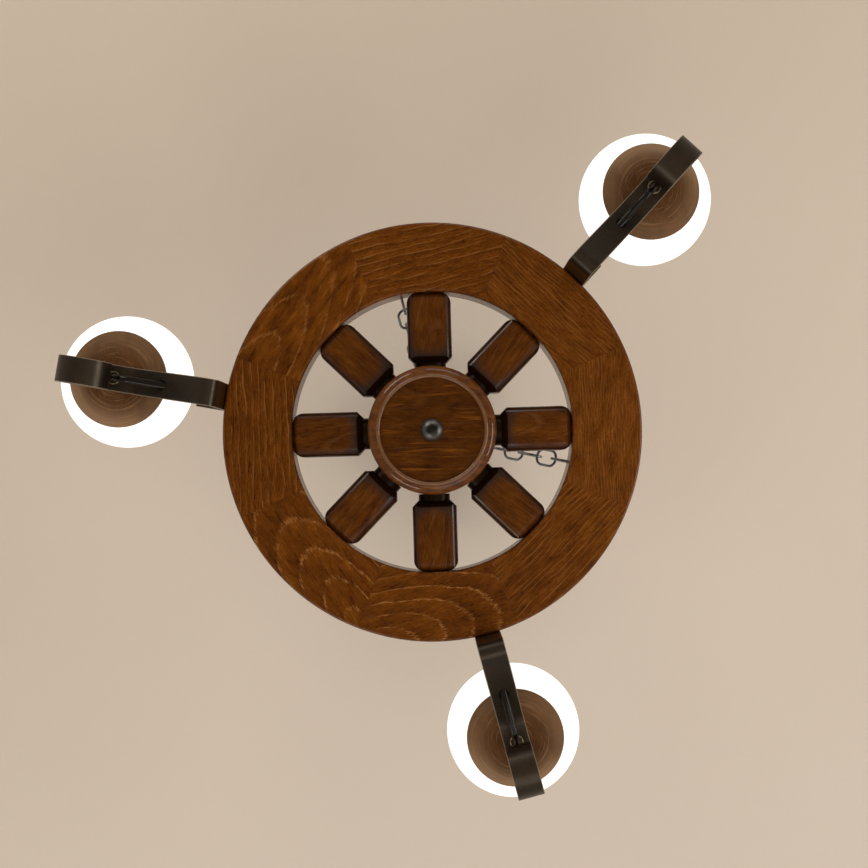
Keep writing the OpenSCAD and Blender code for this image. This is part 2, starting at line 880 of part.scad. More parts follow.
module ceiling_hook() {
    tip = -130;
    color(STEEL)
        rotate([0, 0, chain_az[0]]) {
            translate([0, 0, hook_z + hook_r])
                rotate([90, 0, 0])
                    rotate([0, 0, tip])
                        rotate_extrude(angle = 90 - tip)
                            translate([hook_r, 0])
                                circle(hook_d / 2, $fn = 48);
            translate([0, 0, hook_z + 2 * hook_r])
                cylinder(d = hook_d, h = -hook_z - 2 * hook_r - 1);
            translate([0, 0, hook_z + 2 * hook_r])
                sphere(d = hook_d);
        }
}

module hook_nut() {
    color(STEEL)
        translate([0, 0, -bar_plate_t - seat - hook_nut_h])
            hex_nut(hook_d + 4, hook_nut_h, hook_d + 2 * slip);
}

module canopy() {
    r = canopy_d / 2;
    fillet = 8;
    color(BLACK)
        translate([0, 0, -canopy_h])
            rotate_extrude()
                difference() {
                    canopy_outline(r, canopy_h, fillet);
                    translate([-1, canopy_wall])
                        canopy_outline(r + 1 - canopy_wall, canopy_h, fillet - canopy_wall);
                    translate([-1, -1])
                        square([1 + hook_d / 2 + 2 * slip, 4]);
                }
}

module canopy_outline(r, h, fillet) {
    translate([0, fillet])
        square([r, h - fillet]);
    square([r - fillet, h]);
    translate([r - fillet, fillet])
        circle(fillet);
}

module canopy_nut() {
    color(BLACK)
        translate([0, 0, -canopy_h - seat - nut_h])
            difference() {
                union() {
                    cylinder(d = nut_d, h = nut_h - nut_flange_t);
                    translate([0, 0, nut_h - nut_flange_t])
                        cylinder(d = nut_flange, h = nut_flange_t);
                }
                translate([0, 0, -1])
                    cylinder(d = hook_d + 2 * slip, h = nut_h + 2);
            }
}

module ceiling_bar() {
    color(STEEL)
        translate([0, 0, -bar_plate_t])
            difference() {
                translate([-ceiling_bar_l / 2, -bar_plate_w / 2, 0])
                    cube([ceiling_bar_l, bar_plate_w, bar_plate_t]);
                for (s = [-1, 1])
                    translate([s * ceiling_screws / 2, 0, -1])
                        cylinder(d = ceiling_hole_d, h = bar_plate_t + 2);
                translate([0, 0, -1])
                    cylinder(d = hook_d + 2 * slip, h = bar_plate_t + 2);
            }
}

// ---------- junction box ----------

module flex_ports() {
    for (i = [1 : arms])
        rotate([0, 0, arm_az[i - 1] + near(i)])
            translate([0, 0, flex_z])
                rotate([0, 90, 0])
                    cylinder(d = flex_d + 4 * slip, h = box_r + 10);
}

module junction_base() {
    color(BLACK)
        difference() {
            translate([0, 0, box_z])
                cylinder(r = box_r, h = box_split - box_z);
            translate([0, 0, box_z + box_floor])
                cylinder(r = box_r - box_wall, h = far);
            translate([0, 0, box_z - 1])
                cylinder(d = hub_bolt_d + 4 * slip, h = box_floor + 2);
            flex_ports();
        }
}

module junction_cover() {
    foot = box_split + seat;
    color(BLACK)
        difference() {
            translate([0, 0, foot])
                cylinder(r = box_r, h = box_top - foot);
            translate([0, 0, foot - 1])
                cylinder(r = box_r - box_wall, h = box_top - foot + 1 - box_wall);
            translate([0, 0, foot])
                cylinder(d = gland_d + 2 * slip, h = far);
        }
}

// Bridges the nut and the bolt's end on two feet
module terminal_block() {
    l = 30;
    w = 16;
    foot = 3;
    over = bolt_top + 1;
    color(PORCELAIN) {
        translate([-l / 2, -w / 2, over])
            cube([l, w, foot]);
        for (x = [-l / 2, l / 2 - foot])
            translate([x, -w / 2, nut_z])
                cube([foot, w, over - nut_z + 1]);
    }
}

module cover_gland() {
    color(BLACK)
        difference() {
            union() {
                translate([0, 0, box_top - box_wall - 2])
                    cylinder(d = gland_d, h = box_wall + 4);
                translate([0, 0, box_top + seat])
                    cylinder(d = gland_d + 5, h = 9);
            }
            translate([0, 0, box_top - gland_d])
                cylinder(d = gland_bore, h = 3 * gland_d);
        }
}

for (i = [1 : spokes]) {
    felloe(i);
    spoke(i);
}
for (i = [1 : arms]) {
    arm_strap(i);
    cup(i);
    stem(i);
    lampholder(i);
    globe(i);
    bulb(i);
    flex(i);
    chain(i);
}
felloe_dowels();
hub_core();
hub_face();
hub_bolt();
hub_dome_nut();
hub_back_nut();
arm_screws();
eye_screws();
top_ring();
ceiling_hook();
hook_nut();
canopy();
canopy_nut();
ceiling_bar();
junction_base();
junction_cover();
terminal_block();
cover_gland();
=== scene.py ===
# Wagon wheel chandelier: a varnished wooden wheel on three chains, with three
# flat iron arms that carry turned cups and lit opal glass balls. Seen from the
# floor, straight up. Metres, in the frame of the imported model: z = 0 is the
# ceiling and the lamp hangs below it. Materials count in millimetres.

import bpy
import numpy as np
from mathutils import Matrix, Vector


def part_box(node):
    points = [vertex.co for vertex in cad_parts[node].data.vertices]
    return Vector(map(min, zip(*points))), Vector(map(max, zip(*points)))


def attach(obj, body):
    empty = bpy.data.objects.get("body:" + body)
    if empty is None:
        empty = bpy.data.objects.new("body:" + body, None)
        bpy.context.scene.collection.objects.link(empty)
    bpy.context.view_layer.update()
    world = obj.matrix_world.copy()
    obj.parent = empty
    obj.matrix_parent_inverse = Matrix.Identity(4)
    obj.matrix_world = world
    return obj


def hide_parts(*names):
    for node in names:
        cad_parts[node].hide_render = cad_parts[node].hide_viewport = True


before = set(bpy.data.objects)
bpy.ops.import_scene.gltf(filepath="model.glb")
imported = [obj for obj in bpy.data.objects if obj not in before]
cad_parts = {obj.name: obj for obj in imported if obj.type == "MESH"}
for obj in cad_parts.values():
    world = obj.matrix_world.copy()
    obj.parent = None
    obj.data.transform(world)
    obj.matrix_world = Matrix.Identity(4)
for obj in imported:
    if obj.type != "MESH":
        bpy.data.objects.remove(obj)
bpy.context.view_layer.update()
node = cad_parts

# ---------------------------------------------------------------------------
# Camera. It stands 1.5 m under the wheel, a little off its axis, and looks
# almost straight up. The top of the picture is towards -Y.
# ---------------------------------------------------------------------------

eye_below = 1.5
rim_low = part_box("felloe_1")[0][2]
eye_point = Vector((0.0046, 0.0390, rim_low - eye_below))
aim_point = Vector((0.0016, 0.0025, rim_low))

back = (eye_point - aim_point).normalized()
right = Vector((0, -1, 0)).cross(back).normalized()
up = back.cross(right)
camera_data = bpy.data.cameras.new("floor_camera")
camera_data.sensor_width = 36
camera_data.lens = 65.4
camera = bpy.data.objects.new("floor_camera", camera_data)
camera.matrix_world = Matrix.Translation(eye_point) @ Matrix((right, up, back)).transposed().to_4x4()
bpy.context.collection.objects.link(camera)
bpy.context.scene.camera = camera
bpy.context.scene.view_settings.view_transform = "Standard"

# ---------------------------------------------------------------------------
# Flexes. Three lengths of round two-core flex in a soft, glossy black sheath.
# Each leaves its lampholder through the hollow stem, goes in through the
# arm, up the leg and over the rim, and along a spoke to the junction box.
# ---------------------------------------------------------------------------


def linear(r, g, b):
    """A colour given 0 to 255 a channel, as the linear value that a
    shader takes."""
    c = np.array([r, g, b]) / 255
    return (*np.where(c <= 0.04045, c / 12.92, ((c + 0.055) / 1.055) ** 2.4), 1.0)


class Wire:
    """A node's output. Its operators add Math nodes to the same tree."""

    def __init__(self, tree, socket):
        self.tree, self.socket = tree, socket

    def node(self, kind, settings=None, inputs=None, out=0):
        """Any other node: its settings are set first, then its inputs get
        their values or links, by name or number."""
        made = self.tree.nodes.new(kind)
        for key, value in (settings or {}).items():
            if key == "ramp":
                while len(made.color_ramp.elements) < len(value):
                    made.color_ramp.elements.new(0.5)
                for stop, (at, shade) in zip(made.color_ramp.elements, value):
                    stop.position, stop.color = at, shade
            else:
                setattr(made, key, value)
        for key, value in (inputs or {}).items():
            if isinstance(value, Wire):
                self.tree.links.new(value.socket, made.inputs[key])
            else:
                made.inputs[key].default_value = value
        return Wire(self.tree, made.outputs[out])

    def math(self, operation, first, second=0.0):
        return self.node("ShaderNodeMath", {"operation": operation}, {0: first, 1: second})

    def __add__(self, other):
        return self.math("ADD", self, other)

    def __sub__(self, other):
        return self.math("SUBTRACT", self, other)

    def __rsub__(self, other):
        return self.math("SUBTRACT", other, self)

    def __mul__(self, other):
        return self.math("MULTIPLY", self, other)

    def __truediv__(self, other):
        return self.math("DIVIDE", self, other)

    def __pow__(self, other):
        return self.math("POWER", self, other)

    __radd__, __rmul__ = __add__, __mul__

    def clamp(self, low, high, to_low=0.0, to_high=1.0, way="SMOOTHSTEP"):
        """Its value between low and high, spread over to_low to to_high."""
        return self.node("ShaderNodeMapRange", {"interpolation_type": way},
                         {"Value": self, "From Min": low, "From Max": high,
                          "To Min": to_low, "To Max": to_high})

    def placed(self, turn=0.0, shift=(0, 0, 0)):
        """A position in millimetres, turned about Z and then moved."""
        return self.node("ShaderNodeMapping", inputs={
            "Vector": self, "Rotation": (0, 0, np.radians(turn)), "Location": shift})

    def noise(self, grain, detail=2.0, rough=0.5):
        """Cloudy noise, 0 to 1, whose lumps are about grain wide: a number,
        or one for each axis."""
        wide = (grain, grain, grain) if np.isscalar(grain) else grain
        shrunk = self.node("ShaderNodeVectorMath", {"operation": "DIVIDE"}, {0: self, 1: wide})
        return self.node("ShaderNodeTexNoise", inputs={
            "Vector": shrunk, "Scale": 1.0, "Detail": detail, "Roughness": rough})

    def patchy(self, grain, low, high, detail=3):
        """A value that wanders from low to high in patches grain wide."""
        return self.noise(grain, detail).clamp(0.3, 0.7, low, high)

    def mixed(self, low, high):
        """Colour low where this is 0 and high where it is 1."""
        return self.node("ShaderNodeMix", {"data_type": "RGBA"},
                         {"Factor": self, 6: low, 7: high}, out=2)

    def axes(self):
        """A position's parts along X, Y and Z."""
        split = self.node("ShaderNodeSeparateXYZ", inputs={0: self})
        outs = split.socket.node.outputs
        return [Wire(self.tree, outs[k]) for k in range(3)]


def new_finish(name, **constants):
    """A material with one Principled shader. Gives the material, the shader
    and the place on the object in millimetres."""
    material = bpy.data.materials.new(name)
    material.use_nodes = True
    tree = material.node_tree
    shader = tree.nodes["Principled BSDF"]
    for key, value in constants.items():
        shader.inputs[key.replace("_", " ")].default_value = value
    place = Wire(tree, tree.nodes.new("ShaderNodeTexCoord").outputs["Object"])
    mm = place.node("ShaderNodeVectorMath", {"operation": "SCALE"}, {0: place, "Scale": 1000.0})
    return material, shader, mm


def feed(shader, socket, wire):
    """Let a wire drive one of the shader's sockets."""
    wire.tree.links.new(wire.socket, shader.inputs[socket])


def emboss(shader, height, depth_mm, normal=None):
    """Bump of that depth from a height of 0 to 1."""
    bump = height.node("ShaderNodeBump", inputs={"Height": height, "Distance": depth_mm / 1000})
    if normal is not None:
        height.tree.links.new(normal.socket, bump.socket.node.inputs["Normal"])
    feed(shader, "Normal", bump)


def dress(obj, material):
    """Give the whole object that one material."""
    if len(obj.material_slots) == 0:
        obj.data.materials.append(material)
    for slot in obj.material_slots:
        slot.link = "OBJECT"
        slot.material = material


def new_piece(name, points, faces, smooth=True):
    """An object at the origin, whose mesh is these points and faces."""
    mesh = bpy.data.meshes.new(name)
    mesh.from_pydata(points, [], faces)
    mesh.polygons.foreach_set("use_smooth", np.full(len(mesh.polygons), smooth))
    mesh.update()
    obj = bpy.data.objects.new(name, mesh)
    bpy.context.collection.objects.link(obj)
    return obj


def tube_mesh(name, path, radius, sides):
    """A round tube along a path: at each point the circle stands square to
    the path, and its frame is carried on from the last point, so the tube
    isn't twisted."""
    along = np.gradient(path, axis=0)
    along /= np.linalg.norm(along, axis=1)[:, None]
    side = np.empty_like(path)
    side[0] = np.cross(along[0], [0.31, 0.77, 0.55])
    side[0] /= np.linalg.norm(side[0])
    for k in range(1, len(path)):
        v = side[k - 1] - along[k] * (side[k - 1] @ along[k])
        side[k] = v / np.linalg.norm(v)
    other = np.cross(along, side)
    a = np.linspace(0, 2 * np.pi, sides, endpoint=False)
    rings = path[:, None] + radius * (np.cos(a)[None, :, None] * side[:, None]
                                      + np.sin(a)[None, :, None] * other[:, None])
    n = len(path)
    k, m = np.meshgrid(np.arange(n - 1), np.arange(sides), indexing="ij")
    here, there = k * sides + m, k * sides + (m + 1) % sides
    walls = np.stack([here, there, there + sides, here + sides], axis=-1).reshape(-1, 4)
    ends = [list(range(sides))[::-1], list(range((n - 1) * sides, n * sides))]
    return new_piece(name, rings.reshape(-1, 3).tolist(), walls.tolist() + ends)


def smooth_path(points, steps):
    """Centripetal curve through all the points, with that many steps from
    each to the next. Its time grows with the square root of each gap, and
    every stretch blends three straight lines to two and those to one."""
    p = np.vstack([2 * points[0] - points[1], points, 2 * points[-1] - points[-2]])
    gap = np.maximum(np.linalg.norm(np.diff(p, axis=0), axis=1), 1e-6) ** 0.5
    t = np.concatenate([[0], np.cumsum(gap)])
    out = []
    for k in range(1, len(p) - 2):
        s = np.linspace(t[k], t[k + 1], steps, endpoint=False)[:, None]
        a1 = ((t[k] - s) * p[k - 1] + (s - t[k - 1]) * p[k]) / (t[k] - t[k - 1])
        a2 = ((t[k + 1] - s) * p[k] + (s - t[k]) * p[k + 1]) / (t[k + 1] - t[k])
        a3 = ((t[k + 2] - s) * p[k + 1] + (s - t[k + 1]) * p[k + 2]) / (t[k + 2] - t[k + 1])
        b1 = ((t[k + 1] - s) * a1 + (s - t[k - 1]) * a2) / (t[k + 1] - t[k - 1])
        b2 = ((t[k + 2] - s) * a2 + (s - t[k]) * a3) / (t[k + 2] - t[k])
        out.append(((t[k + 1] - s) * b1 + (s - t[k]) * b2) / (t[k + 1] - t[k]))
    out.append(points[-1][None])
    return np.vstack(out)


# Headings in degrees from +X, of the arms and of the spoke nearest to each,
# and each lamp's distance from the wheel's axis.
arm_az = [-47.7, 74.8, 189.5]
wheel_turn, spoke_step = -1.7, 45
spoke_near = [wheel_turn + spoke_step * count for count in (-1, 2, 4)]
lamp_at = [0.313, 0.303, 0.306]
flex_thick = 0.007

sheath, shader, mm = new_finish("glossy black sheath", Roughness=0.09, Specular_IOR_Level=0.15)
feed(shader, "Base Color", mm.noise(9).mixed(linear(16, 11, 6), linear(26, 19, 12)))
feed(shader, "Roughness", mm.patchy(5, 0.07, 0.15))
emboss(shader, mm.noise(6), 0.02)

# The route of a flex, in metres: the distance out from the wheel's axis, the
# share of the turn from the arm to its nearest spoke, and the height. It
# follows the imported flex, and lies a hair above the rim and the spoke.
above = flex_thick / 2 + 0.0003
stem_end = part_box("stem_1")[0][2]
leg_out = 0.208
on_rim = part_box("felloe_1")[1][2] + above
on_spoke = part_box("spoke_1")[1][2] + above
box_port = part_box("hub_core")[1][2] + 0.0061
# The arm's rise passes this distance and height, and slopes at 39 degrees.
# The hole for the flex is 52 mm in from the lamp, and the flex crosses level.
rise_out, rise_up, rise_slope = 0.261, rim_low - 0.02316, np.tan(np.radians(39))
hole_in = 0.052
for k in range(3):
    lamp, hole = lamp_at[k], lamp_at[k] - hole_in
    hole_up = rise_up + (hole - rise_out) * rise_slope
    route = np.array([
        # down through the stem and out below its collar
        (lamp, 0, stem_end + 0.0233), (lamp, 0, stem_end + 0.0037), (lamp, 0, stem_end),
        (lamp - 0.0025, 0, stem_end - 0.0095), (lamp - 0.0085, 0, stem_end - 0.0155),
        (lamp - 0.0175, 0, stem_end - 0.018),
        # level through the arm's hole and inward to the leg
        (hole + 0.014, 0, hole_up), (hole, 0, hole_up), (hole - 0.014, 0, hole_up - 0.0005),
        (leg_out + 0.020, 0, hole_up - 0.001), (leg_out + 0.010, 0, hole_up + 0.0015),
        (leg_out + 0.003, 0, hole_up + 0.009), (leg_out, 0, hole_up + 0.019),
        # up the leg, bowed out near its top, and in through its hole onto the rim
        (leg_out, 0, on_rim - 0.036), (leg_out + 0.0015, 0, on_rim - 0.030),
        (leg_out + 0.005, 0, on_rim - 0.025), (leg_out + 0.009, 0, on_rim - 0.020),
        (leg_out + 0.010, 0, on_rim - 0.014), (leg_out + 0.009, 0, on_rim - 0.008),
        (leg_out + 0.005, 0, on_rim - 0.003), (leg_out - 0.004, 0, on_rim),
        # round the rim to the spoke
        (0.1942, 0, on_rim), (0.180, 0, on_rim), (0.173, 0.04, on_rim),
        (0.165, 0.18, on_rim), (0.156, 0.42, on_rim), (0.147, 0.66, on_rim),
        (0.138, 0.87, on_rim), (0.130, 0.98, on_rim), (0.120, 1, on_rim - 0.001),
        # along the spoke and into the junction box
        (0.108, 1, on_spoke), (0.092, 1, on_spoke), (0.084, 1, on_spoke + 0.001),
        (0.076, 1, box_port - 0.005), (0.068, 1, box_port - 0.001), (0.060, 1, box_port),
        (0.036, 1, box_port), (0.022, 1, box_port)])
    heading = np.radians(arm_az[k] + route[:, 1] * (spoke_near[k] - arm_az[k]))
    path = smooth_path(np.column_stack([
        route[:, 0] * np.cos(heading), route[:, 0] * np.sin(heading), route[:, 2]]), 6)
    flex = tube_mesh(f"flex_sheath_{k + 1}", path, flex_thick / 2, 24)
    dress(flex, sheath)
    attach(flex, "wheel")
    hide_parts(f"flex_{k + 1}")

# ---------------------------------------------------------------------------
# Room. A plain pale ceiling that the lamp hangs from, a pale floor below the
# camera, and soft light that comes up from the room. None of it is the lamp.
# ---------------------------------------------------------------------------


def flat_square(name, half, height, facing_down):
    """A level square about the Z axis."""
    corners = [(-half, -half, height), (half, -half, height),
               (half, half, height), (-half, half, height)]
    order = [3, 2, 1, 0] if facing_down else [0, 1, 2, 3]
    obj = new_piece(name, corners, [order], smooth=False)
    return obj


def see_through_from_above(material, shader):
    """The ceiling shows only its underside, so that the lamp can also be
    seen from above."""
    tree = material.node_tree
    upper = Wire(tree, tree.nodes.new("ShaderNodeNewGeometry").outputs["Backfacing"])
    clear = upper.node("ShaderNodeBsdfTransparent")
    mix = upper.node("ShaderNodeMixShader", inputs={
        0: upper, 1: Wire(tree, shader.outputs[0]), 2: clear})
    tree.links.new(mix.socket, tree.nodes["Material Output"].inputs["Surface"])


plaster, shader, mm = new_finish("pale ceiling", Roughness=0.9, Specular_IOR_Level=0.1)
x, y = mm.axes()[:2]
# Painted shade: the ceiling is painted darker towards -X-Y and paler towards +X+Y, for the room's light
# falling on it unevenly.
across = (x * 0.3 + y * 0.9).clamp(-560, 620, way="LINEAR")
feed(shader, "Base Color", (across * 0.85 + mm.noise(260, 3) * 0.15)
     .mixed(linear(200, 185, 168), linear(208, 196, 182)))
emboss(shader, mm.noise(3.5, 4) * 0.6 + mm.noise(30) * 0.4, 0.35)
see_through_from_above(plaster, shader)
ceiling = flat_square("ceiling_plane", 2.6, 0.001, True)
dress(ceiling, plaster)

boards, shader, mm = new_finish("pale floor", Roughness=0.8, Specular_IOR_Level=0.2)
feed(shader, "Base Color", mm.noise(400).mixed(linear(214, 211, 206), linear(224, 221, 217)))
floor = flat_square("floor_plane", 3.5, -2.5, False)
dress(floor, boards)

world = bpy.data.worlds.new("pale_walls")
bpy.context.scene.world = world
world.use_nodes = True
world.node_tree.nodes["Background"].inputs["Color"].default_value = (1.0, 0.975, 0.945, 1)
world.node_tree.nodes["Background"].inputs["Strength"].default_value = 0.5


def soft_light(name, heading, out, height, size, watts):
    """A soft light to one side, turned to the wheel. None stands straight
    below, so the flat faces don't mirror it."""
    data = bpy.data.lights.new(name, "AREA")
    data.shape, data.size, data.size_y = "RECTANGLE", *size
    data.energy, data.color = watts, (1.0, 0.97, 0.935)
    obj = bpy.data.objects.new(name, data)
    obj.location = (out * np.cos(np.radians(heading)), out * np.sin(np.radians(heading)), height)
    wheel_middle = Vector((0, 0, -0.33))
    obj.rotation_euler = (wheel_middle - obj.location).to_track_quat("-Z", "Y").to_euler()
    obj.visible_camera = False
    bpy.context.collection.objects.link(obj)


window = (1.3, 0.6)
soft_light("room_light", 62, 1.3, -2.2, (1.7, 1.7), 16)
soft_light("window_right", 8, 2.3, -1.15, window, 18)
soft_light("window_near", 118, 2.3, -1.45, window, 15)
soft_light("window_left", 234, 2.4, -1.2, window, 18)
soft_light("window_far", -80, 2.4, -1.15, window, 9)

# ---------------------------------------------------------------------------
# Rim. Eight curved pieces of beech, sawn with the grain along each chord and
# dowelled end to end, then stained walnut and varnished. Each was cut from
# another board, so each has its own figure.
# ---------------------------------------------------------------------------

dark_line, brown, warm_brown = linear(52, 23, 1), linear(84, 42, 4), linear(103, 56, 9)
bright_brown, pale_line = linear(130, 76, 22), linear(156, 104, 52)


def board(mm, turn, lean=0.0, axis=0.0, depth=30.0, slope=0.1, gap=7.0, jag=5.0,
          line=0.6, mottle=0.3, seed=0.0):
    """Sawn wood: its colour, its fibre and its flecks. The year rings are
    cones round a pith that lies depth below the face and axis to the side,
    and comes up towards the face by slope, so they cut the face in straight
    lines or, where slope is large, in nested arches. turn is the board's
    heading, lean the grain's angle to it, gap the width of a year, jag how
    far the fibres pull an arch's edge into teeth, line and mottle the
    strength of the pale year lines and of the clouding, and seed the place
    in the log that the board comes from."""
    far = seed * 37
    here = mm.placed(turn=-turn).placed(turn=-lean, shift=(far, axis, seed * 11))
    slow = here.noise((60, 20, 20))
    teeth = here.noise((14, 1.1, 8), 3, 0.6)
    x, y = here.axes()[:2]
    x = x + (teeth - 0.5) * (2 * jag) - far
    y = y + (slow - 0.5) * 11
    rise = x * slope + depth
    ring = (y * y + rise * rise) ** 0.5 / gap
    year = ring.math("FRACT", ring)
    faint = here.noise((26, 7, 9))
    thin = 0.45 / gap
    pale = (year.clamp(0.0, thin) * year.clamp(thin, 3.4 * thin, 1.0, 0.0)
            * faint.clamp(0.34, 0.6, 0.1, 1.0))
    late = year.clamp(0.1, 1.0, way="LINEAR")
    fibre = here.noise((11, 1.3, 2), 4, 0.7)
    fleck = here.noise((3.6, 1.0, 1.5), 2, 0.6)
    cloud = here.noise((24, 10, 14), 4, 0.6)
    tone = late * 0.07 + fibre * 0.42 + cloud * mottle + fleck * 0.34
    # the tone's middle, and how far it is followed to either side
    middle, reach = 0.42 + mottle / 2, 0.11 + mottle * 0.13
    spread = tone.clamp(middle - reach, middle + reach, way="LINEAR")
    colour = spread.node("ShaderNodeValToRGB", {"ramp": [
        (0.0, dark_line), (0.35, brown), (0.7, warm_brown), (1.0, bright_brown)]}, {0: spread})
    lined = (pale * line).mixed(colour, pale_line)
    pores = fleck.clamp(0.58, 0.66) * 0.4
    return pores.mixed(lined, dark_line), fibre, fleck


rim_in, rim_out = 134, 200
rim_middle = (rim_in + rim_out) / 2
spoke_az = [wheel_turn + spoke_step * k for k in range(8)]
# one board for each felloe, from close straight lines to wide arches
felloe_cut = [
    dict(lean=2, axis=60, depth=12, slope=0.03, gap=2.6, jag=1.5, line=0.3, mottle=0.28),
    dict(lean=3, axis=44, depth=25, slope=0.05, gap=4.2, jag=3.0, line=0.4, mottle=0.45),
    dict(lean=-16, axis=16, depth=52, slope=-0.40, gap=11.0, jag=9.0, line=0.9, mottle=0.3),
    dict(lean=12, axis=-6, depth=46, slope=0.36, gap=12.0, jag=11.0, line=0.85, mottle=0.45),
    dict(lean=0, axis=80, depth=20, slope=0.02, gap=6.5, jag=1.2, line=0.5, mottle=0.2),
    dict(lean=-10, axis=8, depth=30, slope=0.22, gap=9.5, jag=12.0, line=0.5, mottle=0.85),
    dict(lean=-14, axis=64, depth=30, slope=-0.06, gap=6.8, jag=2.0, line=0.5, mottle=0.15),
    dict(lean=0, axis=90, depth=16, slope=0.02, gap=3.4, jag=1.2, line=0.35, mottle=0.2),
]
for k, cut in enumerate(felloe_cut):
    stain, shader, mm = new_finish(f"varnished rim wood {k + 1}", Roughness=0.45, Coat_Roughness=0.2,
                                   Specular_IOR_Level=0.04)
    cut["axis"] += rim_middle
    colour, fibre, fleck = board(mm, spoke_az[k] + 90, seed=k + 1.0, **cut)
    x, y = mm.axes()[:2]
    out = (x * x + y * y) ** 0.5
    # the varnish shines where the rim's edges are rounded
    rounded = (out.clamp(rim_out - 2.6, rim_out - 0.4)
               + out.clamp(rim_in + 0.4, rim_in + 2.6, 1.0, 0.0))
    feed(shader, "Base Color", colour)
    feed(shader, "Coat Weight", rounded * 0.8 + 0.02)
    feed(shader, "Roughness", fibre.clamp(0.2, 0.8, 0.34, 0.48))
    emboss(shader, fibre * 0.6 + fleck * 0.4, 0.05)
    dress(node[f"felloe_{k + 1}"], stain)

beech, shader, mm = new_finish("bare beech dowel", Roughness=0.7)
feed(shader, "Base Color", mm.noise((0.6, 0.6, 6), 3).mixed(linear(176, 134, 88), linear(206, 168, 120)))
dress(node["felloe_dowels"], beech)

# ---------------------------------------------------------------------------
# Spokes. Blades of the same beech, planed flat on the face with the long
# edges rolled over, and turned to a round neck at the hub.
# ---------------------------------------------------------------------------

blade_middle, blade_reach, blade_half = 105, 34, 20
spoke_lean = [2, -3, 1, 3, -2, 2, -1, -3]
spoke_axis = [9, 30, -12, 26, 8, 34, -8, 22]
for k in range(8):
    stain, shader, mm = new_finish(f"varnished spoke wood {k + 1}", Roughness=0.35,
                                   Coat_Roughness=0.18, Specular_IOR_Level=0.04)
    colour, fibre = board(mm, spoke_az[k], lean=spoke_lean[k], axis=spoke_axis[k], depth=24,
                          slope=0.1, gap=4.2, jag=4.0, line=0.25, mottle=0.5, seed=k + 11.0)[:2]
    x, y = mm.placed(turn=-spoke_az[k]).axes()[:2]
    across, along = y / blade_half, (x - blade_middle) / blade_reach
    # Painted shade: the face is darkened towards its rolled edges and ends, where they turn from the
    # light. The same mask puts the varnish's gloss on the rolled edges.
    rolled_edge_and_shade = (across ** 4 + along ** 4).clamp(0.1, 1.0)
    # Painted shade: the neck and the chamfer by the hub are painted near black, for the dim corner between
    # the spokes. No coat is put there.
    neck_shade = x.clamp(67, 76, 1.0, 0.0)
    colour = (rolled_edge_and_shade * 0.62 + 0.3).mixed(colour, linear(34, 15, 3))
    feed(shader, "Base Color", (neck_shade * 0.75).mixed(colour, linear(16, 7, 2)))
    feed(shader, "Coat Weight", rolled_edge_and_shade * 0.5 * (1.0 - neck_shade) + 0.03)
    feed(shader, "Roughness", fibre.clamp(0.2, 0.8, 0.28, 0.42))
    emboss(shader, fibre, 0.05)
    dress(node[f"spoke_{k + 1}"], stain)

# ---------------------------------------------------------------------------
# Hub. A turned barrel that the spokes' tenons go into, and a thick turned
# front disc, flat in the middle with one fine bead. A bolt through both is
# drawn up by a domed nut in front and a plain one behind.
# ---------------------------------------------------------------------------

turned, shader, mm = new_finish("varnished hub wood", Roughness=0.34, Coat_Roughness=0.07,
                                Specular_IOR_Level=0.04)
colour, fibre = board(mm, 0, lean=2, axis=28, depth=40, slope=0.05, gap=6.5, jag=6.0,
                      line=0.2, mottle=0.55, seed=21.0)[:2]
x, y = mm.axes()[:2]
out = (x * x + y * y) ** 0.5
here = mm.placed(turn=2, shift=(0, 7, 0))
streak = here.noise((60, 3.4, 6), 4, 0.6).clamp(0.57, 0.68) * out.clamp(44, 48, 1.0, 0.0)
deeper = out.clamp(47, 50, 0.5, 0.18).mixed(colour, linear(30, 12, 1))
feed(shader, "Base Color", (streak * 0.5).mixed(deeper, bright_brown))
feed(shader, "Coat Weight", out.clamp(47.6, 48.4) * 0.42 + 0.03)
feed(shader, "Roughness", fibre.clamp(0.2, 0.8, 0.27, 0.4))
emboss(shader, fibre, 0.05)
dress(node["hub_core"], turned)
dress(node["hub_face"], turned)

# The bead is a ring: a small round carried about the wheel's axis, and sunk
# so that a millimetre of it stands proud of the disc.
bead_out, bead_wide, bead_tall, bead_sunk = 0.0498, 0.0018, 0.0017, 0.0007
bead_steps, round_steps = 160, 16
turn, roll = np.meshgrid(np.linspace(0, 2 * np.pi, bead_steps, endpoint=False),
                         np.linspace(0, 2 * np.pi, round_steps, endpoint=False), indexing="ij")
rad = bead_out + bead_wide * np.cos(roll)
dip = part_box("hub_face")[0][2] + bead_sunk + bead_tall * np.sin(roll)
points = np.stack([rad * np.cos(turn), rad * np.sin(turn), dip], axis=-1).reshape(-1, 3)
corner = np.arange(bead_steps * round_steps).reshape(bead_steps, round_steps)
quads = np.stack([corner, np.roll(corner, -1, 0), np.roll(corner, (-1, -1), (0, 1)),
                  np.roll(corner, -1, 1)], axis=-1).reshape(-1, 4)
bead = new_piece("hub_bead", points.tolist(), quads.tolist())
shiny, shader, mm = new_finish("varnished bead", Roughness=0.3, Coat_Roughness=0.05, Coat_Weight=0.9,
                               Specular_IOR_Level=0.1)
feed(shader, "Base Color", mm.noise((6, 3, 3), 3).mixed(linear(84, 50, 20), linear(112, 72, 34)))
emboss(shader, mm.noise((3, 1, 1), 3), 0.03)
dress(bead, shiny)
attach(bead, "wheel")

reflection_painted, shader, mm = new_finish("blued steel", Metallic=1.0, Roughness=0.38)
x, y = mm.axes()[:2]
